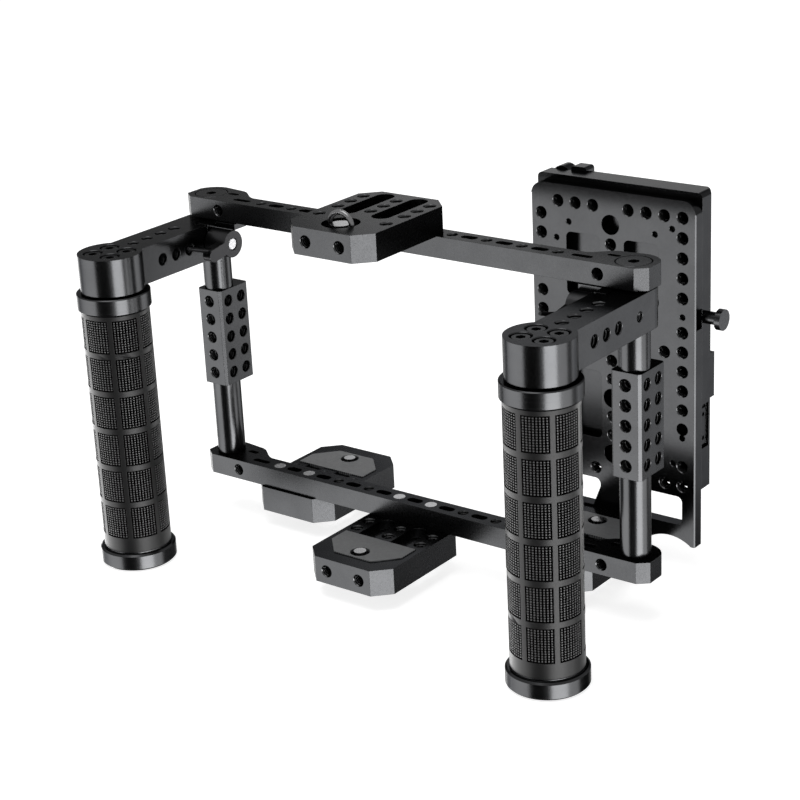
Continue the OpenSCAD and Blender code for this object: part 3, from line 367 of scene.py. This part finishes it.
def round_holes(node):
    """Every round hole in a flat face: centre of its mouth, outward axis, radius, depth."""
    co, tri = welded(node)
    normal = np.cross(co[tri[:, 1]] - co[tri[:, 0]], co[tri[:, 2]] - co[tri[:, 0]])
    length = np.linalg.norm(normal, axis=1)
    tri, normal = tri[length > 0], normal[length > 0] / length[length > 0][:, None]
    sides = {}
    for t, (a, b, c) in enumerate(tri):
        for e in ((a, b), (b, c), (c, a)):
            sides.setdefault((min(e), max(e)), []).append(t)
    near = {}
    for (a, b), ts in sides.items():
        if len(ts) == 2 and normal[ts[0]] @ normal[ts[1]] < SHARP_COSINE:
            near.setdefault(a, []).append((b, ts))
            near.setdefault(b, []).append((a, ts))
    seen, found = set(), []
    for start in near:
        if start in seen:
            continue
        loop, stack = [], [start]
        while stack:
            v = stack.pop()
            if v in seen:
                continue
            seen.add(v)
            loop.append(v)
            stack += [w for w, _ in near[v]]
        if len(loop) < LEAST_POINTS or any(len(near[v]) != 2 for v in loop):
            continue
        points = co[loop]
        centre = (points.max(0) + points.min(0)) / 2
        flat = np.array([t for v in loop for _, ts in near[v] for t in ts])
        axis = np.linalg.svd(points - points.mean(0))[2][2]
        caps = flat[np.abs(normal[flat] @ axis) > FLAT_COSINE]
        walls = np.setdiff1d(flat, caps)
        radius = np.linalg.norm(points - centre, axis=1)
        if not len(caps) or not len(walls) or np.ptp(radius) > OUT_OF_ROUND:
            continue
        out = normal[caps[0]]
        reach = np.linalg.norm(co[tri[caps]] - centre, axis=2).max()
        if reach < radius.mean() * FACE_SHARE:
            continue
        depth = float((-(co[tri[walls]] - centre) @ out).max())
        if depth > LEAST_DEPTH:
            found.append((centre, out, float(radius.mean()), depth))
    return found


def liner(centre, out, radius, depth, pitch, through):
    """Vertices and faces of a countersunk mouth and a thread, to the middle of a through hole."""
    crest = radius * CREST_SHARE
    mid = (crest + radius - GAP) / 2
    wave = (crest, mid, radius - GAP, mid)
    start = (radius - crest) * MOUTH_SLOPE
    stop = depth - GAP if not through else depth / 2
    upright = abs(out[2]) > 0.9
    side = np.cross(out, (1, 0, 0) if upright else (0, 0, 1))
    side /= np.linalg.norm(side)
    other = np.cross(out, side)
    turn = np.arange(SIDES) / SIDES
    rows = [
        (np.full(SIDES, radius - GAP / 2), np.full(SIDES, GAP)),
        (np.full(SIDES, crest), np.full(SIDES, start)),
    ]
    steps = len(wave)
    for i in range(1, int((stop - start) / pitch * steps) + steps + 1):
        z = start + (i - steps) * pitch / steps + turn * pitch
        r = np.full(SIDES, wave[i % steps])
        r[z <= start] = crest
        z = np.clip(z, start, stop)
        rows.append((r, z))
    angle = 2 * math.pi * turn
    rim = np.cos(angle)[:, None] * side + np.sin(angle)[:, None] * other
    verts = np.concatenate([centre - out * z[:, None] + rim * r[:, None] for r, z in rows])
    faces = []
    for i in range(len(rows) - 1):
        upper, lower = i * SIDES, (i + 1) * SIDES
        for j in range(SIDES):
            k = (j + 1) % SIDES
            faces.append((upper + j, upper + k, lower + k, lower + j))
    return verts, faces


def make_threads():
    """One piece of threads for each body."""
    made = {}
    for node in THREADED:
        for centre, out, radius, depth in round_holes(node):
            if not LEAST_R < radius < MOST_R:
                continue
            pitch = COARSE_PITCH if radius > COARSE_R else FINE_PITCH
            through = depth > DEEPEST_BLIND or node in OPEN_THROUGH
            verts, faces = made.setdefault(BODY_OF[node], ([], []))
            base = sum(len(v) for v in verts)
            new_verts, new_faces = liner(centre, out, radius, depth, pitch, through)
            verts.append(new_verts)
            faces += [tuple(base + i for i in face) for face in new_faces]
    for body, (verts, faces) in made.items():
        verts = np.concatenate(verts)
        add_piece(body + "_threads", verts, faces, body, "thread_metal")


make_threads()


# Grips

# the sunk panels of a sleeve, in metres as in the part's source
PANEL_TOP = 0.0023
PANEL_H = 0.0171
PANEL_PITCH = 0.0201
PANEL_DEPTH = 0.0006
PANEL_BAND = 0.00245
PANEL_COLS = 7
PANEL_ROWS = 6

# the painted shade in a panel, a near-black sheet on its floor and walls: its thickness, how far up it
# ends, and its steps round the sleeve
SHADE_SHEET = 0.00003
WALL_SHARE = 0.3
FLOOR_STEPS = 8

# the studs of a panel; base and tip are half widths
STUD_COLS = 8
STUD_ROWS = 13
STUD_BASE = 0.0004
STUD_TIP = 0.00032
STUD_RISE = 0.00044
STUD_EDGE = 0.0003
STUD_END = 0.0004
CORNERS = ((-1, -1), (1, -1), (1, 1), (-1, 1))

SLEEVES = (
    # hand, side along X, turn of the first panel in degrees
    ("right", 1, -41.3),
    ("left", -1, -21.3),
)


class Sleeve:
    """The rubber sleeve of a grip, at its place in the frame."""

    def __init__(self, hand, side, turn):
        self.name = hand + "_sleeve"
        self.side = side
        self.turn = math.radians(turn)
        low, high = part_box(self.name)
        self.middle = (low + high) / 2
        self.radius = (high.y - low.y) / 2
        self.top = high.z

    def point(self, a, r, z):
        """The point at angle a, where 0 is away from the cage, radius r and height z."""
        x = self.middle.x + self.side * r * math.cos(a)
        return (x, self.middle.y + r * math.sin(a), z)

    def panels(self):
        """Every sunk panel: its first and last angle and its lowest and highest point."""
        step = math.radians(360 / PANEL_COLS)
        band = PANEL_BAND / self.radius
        for column in range(PANEL_COLS):
            start = self.turn + column * step + band / 2
            for row in range(PANEL_ROWS):
                high = self.top - PANEL_TOP - row * PANEL_PITCH
                yield start, start + step - band, high - PANEL_H, high

    def outward(self, quads):
        """The quads with their fronts outwards, whichever side the sleeve is on."""
        return quads if self.side > 0 else [quad[::-1] for quad in quads]

    def add(self, ending, verts, faces, finish):
        """A piece that rides with the sleeve."""
        name, body = self.name + ending, BODY_OF[self.name]
        add_piece(name, verts, faces, body, finish, smooth=False)

    def add_floors(self):
        """A thin near-black sheet on the floor and walls of each panel: painted shade."""
        verts, faces = [], []
        low_r = self.radius - PANEL_DEPTH + SHADE_SHEET
        high_r = self.radius - PANEL_DEPTH * WALL_SHARE
        inset = SHADE_SHEET / self.radius
        wide = FLOOR_STEPS + 1
        for a0, a1, z0, z1 in self.panels():
            n = len(verts)
            bottom, top = z0 + SHADE_SHEET, z1 - SHADE_SHEET
            angles = [a0 + inset + (a1 - a0 - 2 * inset) * i / FLOOR_STEPS for i in range(wide)]
            for z, r in ((bottom, high_r), (bottom, low_r), (top, low_r), (top, high_r)):
                verts += [self.point(a, r, z) for a in angles]
            starts = [n + row * wide + i for row in range(3) for i in range(FLOOR_STEPS)]
            quads = [(v, v + 1, v + wide + 1, v + wide) for v in starts]
            for i in (0, FLOOR_STEPS):
                m = len(verts)
                verts += [self.point(angles[i], high_r, z) for z in (bottom, top)]
                end = (n + wide + i, m, m + 1, n + 2 * wide + i)
                quads.append(end if i == 0 else end[::-1])
            faces += self.outward(quads)
        # painted shade in the hollows between the studs
        self.add("_floors", verts, faces, "panel_shade")

    def add_studs(self):
        """Rows of small square studs on the floor of each panel."""
        verts, faces = [], []
        root = self.radius - PANEL_DEPTH
        edge = STUD_EDGE / self.radius
        for a0, a1, z0, z1 in self.panels():
            for i in range(STUD_COLS):
                a = a0 + edge + (i + 0.5) / STUD_COLS * (a1 - a0 - 2 * edge)
                for j in range(STUD_ROWS):
                    z = z0 + STUD_END + (j + 0.5) / STUD_ROWS * (z1 - z0 - 2 * STUD_END)
                    n = len(verts)
                    for half, r in ((STUD_BASE, root), (STUD_TIP, root + STUD_RISE)):
                        for u, v in CORNERS:
                            verts.append(self.point(a + half * u / self.radius, r, z + half * v))
                    walls = [(n + q, n + (q + 1) % 4, n + 4 + (q + 1) % 4, n + 4 + q) for q in range(4)]
                    ends = [(n + 4, n + 5, n + 6, n + 7), (n + 3, n + 2, n + 1, n)]
                    faces += self.outward(walls + ends)
        # the studs are coloured lighter than the grip's rubber: painted highlight
        self.add("_studs", verts, faces, "stud_rubber")


for hand, side, turn in SLEEVES:
    sleeve = Sleeve(hand, side, turn)
    sleeve.add_floors()
    sleeve.add_studs()


# Light and floor

TARGET = Vector((0, 0, 0.1))
WHITE = (1, 1, 1, 1)
FLOOR_GREY = (0.55, 0.55, 0.55, 1)
FLOOR_GLOW = 0.8
FLOOR_SIDE = 80
FLOOR_DROP = 0.0005
AMBIENT = 0.4
LAMPS = (
    # name, azimuth, elevation, distance, width, height, radiance, also lights matt surfaces
    ("front_left", -48, -24, 1.7, 2.0, 0.95, 5.8, True),
    ("back_left", -99, -24, 1.7, 1.1, 0.95, 5.4, True),
    ("front_right", 64, -22, 1.7, 1.1, 0.95, 15.0, False),
    ("front_soft", 101, -22, 1.7, 0.95, 0.95, 4.6, True),
    ("side_right", 154, -14, 1.7, 0.95, 0.6, 4.8, True),
    ("back_high", -152, 20, 1.6, 0.7, 0.5, 3.0, True),
    ("top", -20, 78, 1.6, 1.1, 1.1, 4.0, True),
)
FLAGS = (
    # name, azimuth, elevation, distance, width, height
    ("flag_front", 10, -24, 2.0, 1.7, 1.2),
    ("flag_right", 144, -38, 2.0, 1.5, 0.75),
)


def placed(name, data, azimuth, elevation, distance):
    """A new object at a distance from the part, turned to face it."""
    made = bpy.data.objects.new(name, data)
    out = direction(azimuth, elevation)
    made.location = TARGET + out * distance
    made.rotation_mode = "QUATERNION"
    made.rotation_quaternion = out.to_track_quat("Z", "Y")
    bpy.context.scene.collection.objects.link(made)
    return made


def sheet(name, width, height, material):
    """A flat rectangle round the origin."""
    x, y = width / 2, height / 2
    mesh = bpy.data.meshes.new(name)
    mesh.from_pydata([(-x, -y, 0), (x, -y, 0), (x, y, 0), (-x, y, 0)], [], [(0, 1, 2, 3)])
    mesh.materials.append(material)
    return mesh


def softbox(name, azimuth, elevation, distance, width, height, radiance, lights_matt):
    """A rectangular lamp, seen in reflections but not by the camera."""
    data = bpy.data.lights.new(name, "AREA")
    data.shape = "RECTANGLE"
    data.size = width
    data.size_y = height
    data.energy = radiance * math.pi * width * height
    lamp = placed(name, data, azimuth, elevation, distance)
    lamp.visible_camera = False
    lamp.visible_diffuse = lights_matt


def flag(name, azimuth, elevation, distance, width, height):
    """A black card that keeps the white surroundings out of the metal's reflections."""
    cloth = sheet(name, width, height, MATERIALS["flag_cloth"])
    card = placed(name, cloth, azimuth, elevation, distance)
    card.visible_camera = False
    card.visible_diffuse = False
    card.visible_shadow = False
    card.visible_transmission = False


def sees_background(tree):
    """1 for a camera, glossy or transmission ray, and 0 for any other."""
    path = tree.nodes.new("ShaderNodeLightPath")
    value = path.outputs["Is Camera Ray"]
    for kind in ("Is Glossy Ray", "Is Transmission Ray"):
        most = tree.nodes.new("ShaderNodeMath")
        most.operation = "MAXIMUM"
        tree.links.new(value, most.inputs[0])
        tree.links.new(path.outputs[kind], most.inputs[1])
        value = most.outputs[0]
    return value


def make_world():
    """White where the camera or a reflection sees it, and a plain dim light otherwise."""
    world = bpy.data.worlds.new("world")
    world.use_nodes = True
    tree = world.node_tree
    tree.nodes.clear()
    out = tree.nodes.new("ShaderNodeOutputWorld")
    ground = tree.nodes.new("ShaderNodeBackground")
    ground.inputs["Color"].default_value = WHITE
    level = tree.nodes.new("ShaderNodeMapRange")
    level.inputs["To Min"].default_value = AMBIENT
    level.inputs["To Max"].default_value = 1.0
    tree.links.new(sees_background(tree), level.inputs["Value"])
    tree.links.new(level.outputs[0], ground.inputs["Strength"])
    tree.links.new(ground.outputs[0], out.inputs[0])
    bpy.context.scene.world = world


def make_floor():
    """A plain pale floor that keeps the object's shadow."""
    material = bpy.data.materials.new("floor")
    material.use_nodes = True
    tree = material.node_tree
    tree.nodes.clear()
    out = tree.nodes.new("ShaderNodeOutputMaterial")
    total = tree.nodes.new("ShaderNodeAddShader")
    diffuse = tree.nodes.new("ShaderNodeBsdfDiffuse")
    diffuse.inputs["Color"].default_value = FLOOR_GREY
    glow = tree.nodes.new("ShaderNodeEmission")
    glow.inputs["Color"].default_value = WHITE
    level = tree.nodes.new("ShaderNodeMath")
    level.operation = "MULTIPLY"
    level.inputs[1].default_value = FLOOR_GLOW
    tree.links.new(sees_background(tree), level.inputs[0])
    tree.links.new(level.outputs[0], glow.inputs["Strength"])
    tree.links.new(diffuse.outputs[0], total.inputs[0])
    tree.links.new(glow.outputs[0], total.inputs[1])
    tree.links.new(total.outputs[0], out.inputs[0])
    floor = bpy.data.objects.new("floor", sheet("floor", FLOOR_SIDE, FLOOR_SIDE, material))
    floor.location.z = -FLOOR_DROP
    floor.visible_shadow = False
    floor.visible_glossy = False
    bpy.context.scene.collection.objects.link(floor)


for lamp in LAMPS:
    softbox(*lamp)
for card in FLAGS:
    flag(*card)
make_world()
make_floor()

bpy.context.scene.view_settings.view_transform = "Standard"
